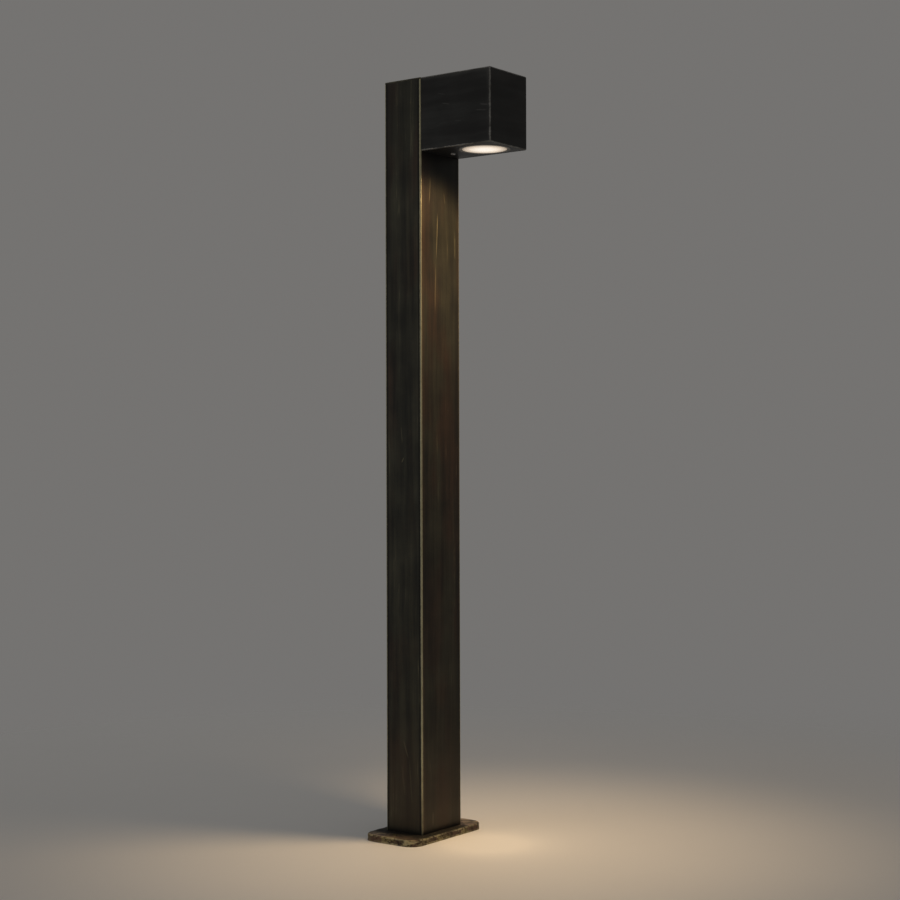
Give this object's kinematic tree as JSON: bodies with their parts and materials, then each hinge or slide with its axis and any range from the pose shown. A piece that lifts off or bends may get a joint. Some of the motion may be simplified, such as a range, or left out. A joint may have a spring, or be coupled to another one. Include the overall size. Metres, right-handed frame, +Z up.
{
  "type": "bollard light",
  "caption": "Garden bollard light: a rectangular bronze-finish post on a flat bolted foot, with a box head at the top that lights the ground through a round glass.",
  "frame": {"origin": "centre of the foot's underside, midway between the two anchor holes", "axes": "+Z up along the post, +X the way the head reaches out from the post, +Y across the post"},
  "size_m": [0.1845, 0.155, 1],
  "materials": {
    "bronze_post": "dark bronze patina, brushed lengthwise, worn to gold on the corners",
    "bronze_head": "dark bronze patina, brushed, worn on the corners",
    "bronze_foot": "cast, mottled bronze patina",
    "zinc_sheet": "zinc plated sheet",
    "steel_screw": "stainless",
    "brass_part": "satin",
    "lens_glass": "satin frosted",
    "black_rubber": "matt",
    "clear_silicone": "matt",
    "reflector_metal": "bright",
    "lamp_glass": "frosted, lit",
    "lamp_body_plastic": "gloss",
    "holder_ceramic": "unglazed",
    "terminal_plastic": "matt",
    "clamp_plastic": "matt",
    "brown_insulation": "satin",
    "blue_insulation": "satin",
    "earth_insulation": "satin, green with a yellow stripe"
  },
  "bodies": {
    "post_and_head": {"base_plate": "bronze_foot", "base_screws": "steel_screw", "cable_grommet": "black_rubber", "cord_clamp_base": "clamp_plastic", "cord_clamp_saddle": "clamp_plastic", "cord_clamp_screws": "steel_screw", "earth_lug": "brass_part", "earth_screw": "steel_screw", "earth_wire": "earth_insulation", "head_bracket": "zinc_sheet", "head_bracket_screws": "steel_screw", "head_fixing_screw": "steel_screw", "head_gasket": "black_rubber", "head_housing": "bronze_head", "lampholder": "holder_ceramic", "lampholder_bracket": "zinc_sheet", "lampholder_bracket_screws": "steel_screw", "lampholder_contacts": "brass_part", "lampholder_screws": "steel_screw", "live_wire": "brown_insulation", "neutral_wire": "blue_insulation", "post": "bronze_post", "terminal_block": "terminal_plastic", "terminal_block_screws": "steel_screw", "terminal_bracket": "zinc_sheet", "terminal_bracket_screws": "steel_screw", "terminal_inserts": "brass_part", "terminal_screws": "steel_screw", "top_cap": "bronze_post", "wire_grommet": "black_rubber"},
    "glass_unit": {"glass_lens": "lens_glass", "lens_seal": "clear_silicone"},
    "trim_ring": {"lens_ring": "bronze_head"},
    "lamp": {"lamp_reflector": "reflector_metal", "lamp_lens": "lamp_glass", "lamp_base": "lamp_body_plastic", "lamp_pins": "brass_part"}
  },
  "joints": [
    {"name": "glass_drop", "type": "slide", "parent": "post_and_head", "child": "glass_unit", "axis": [0, 0, -1], "range_m": [0, 0.0061]},
    {"name": "ring_turn", "type": "hinge", "parent": "glass_unit", "child": "trim_ring", "pos_m": [0.1025, 0, 0.9035], "axis": [0, 0, -1], "range_deg": [0, 1440]},
    {"name": "lamp_twist", "type": "hinge", "parent": "post_and_head", "child": "lamp", "pos_m": [0.1025, 0, 0.958], "axis": [0, 0, -1], "range_deg": [0, 15]}
  ],
  "couplings": [
    {"joint": "glass_drop", "follows": "ring_turn", "m_per_rad": 0.00023873}
  ]
}
